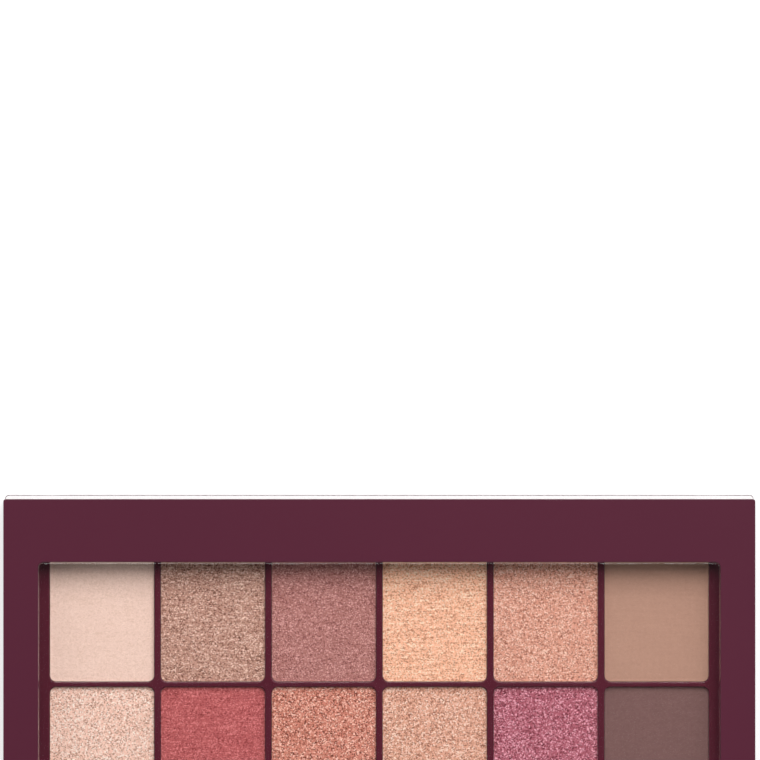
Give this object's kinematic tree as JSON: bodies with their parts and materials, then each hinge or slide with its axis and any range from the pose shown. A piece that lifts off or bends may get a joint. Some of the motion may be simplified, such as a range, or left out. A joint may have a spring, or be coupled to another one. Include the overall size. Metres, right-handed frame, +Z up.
{
  "type": "eyeshadow palette",
  "caption": "Flat hinged eyeshadow palette: clear-windowed lid over a tray of pressed powders in metal pans, with a double-ended sponge applicator.",
  "frame": {"origin": "bottom centre of the closed palette's box, with the clear lip behind the hinge counted in", "axes": "+X along the case's width, -Y towards the front edge that lifts, +Y towards the hinge, +Z up through the lid"},
  "size_m": [0.152, 0.0808, 0.012],
  "materials": {
    "case_plastic": "satin burgundy moulded plastic",
    "tray_plastic": "burgundy moulded plastic, a little glossier than the case",
    "clear_plastic": "clear moulded styrene acrylonitrile, polished",
    "pan_metal": "thin pressed sheet, bright",
    "pin_steel": "drawn steel pin, bright",
    "glue": "set hot-melt glue",
    "handle_plastic": "black glossy moulded plastic",
    "sponge": "fine-celled foam, matte",
    "label_paper": "blank sticker, matte",
    "powder_01_cake": "pressed powder, cream pink matte",
    "powder_02_cake": "pressed powder, taupe shimmer",
    "powder_03_cake": "pressed powder, mauve shimmer",
    "powder_04_cake": "pressed powder, gold peach shimmer",
    "powder_05_cake": "pressed powder, rose gold shimmer",
    "powder_06_cake": "pressed powder, tan matte",
    "powder_07_cake": "pressed powder, champagne glitter",
    "powder_08_cake": "pressed powder, rose red satin",
    "powder_09_cake": "pressed powder, copper glitter",
    "powder_10_cake": "pressed powder, pinkish beige glitter",
    "powder_11_cake": "pressed powder, plum glitter",
    "powder_12_cake": "pressed powder, dark brown matte"
  },
  "bodies": {
    "case": {"base_shell": "case_plastic", "base_label": "label_paper", "pan_tray": "tray_plastic", "pan_01": "pan_metal", "pan_02": "pan_metal", "pan_03": "pan_metal", "pan_04": "pan_metal", "pan_05": "pan_metal", "pan_06": "pan_metal", "pan_07": "pan_metal", "pan_08": "pan_metal", "pan_09": "pan_metal", "pan_10": "pan_metal", "pan_11": "pan_metal", "pan_12": "pan_metal", "powder_01": "powder_01_cake", "powder_02": "powder_02_cake", "powder_03": "powder_03_cake", "powder_04": "powder_04_cake", "powder_05": "powder_05_cake", "powder_06": "powder_06_cake", "powder_07": "powder_07_cake", "powder_08": "powder_08_cake", "powder_09": "powder_09_cake", "powder_10": "powder_10_cake", "powder_11": "powder_11_cake", "powder_12": "powder_12_cake", "pan_glue": "glue", "applicator_handle": "handle_plastic", "applicator_tip_left": "sponge", "applicator_tip_right": "sponge", "hinge_pins": "pin_steel"},
    "lid": {"lid_frame": "case_plastic", "lid_window": "clear_plastic"}
  },
  "joints": [
    {"name": "lid_hinge", "type": "hinge", "parent": "case", "child": "lid", "pos_m": [0, 0.03857, 0.007], "axis": [-1, 0, 0], "range_deg": [0, 120]}
  ]
}
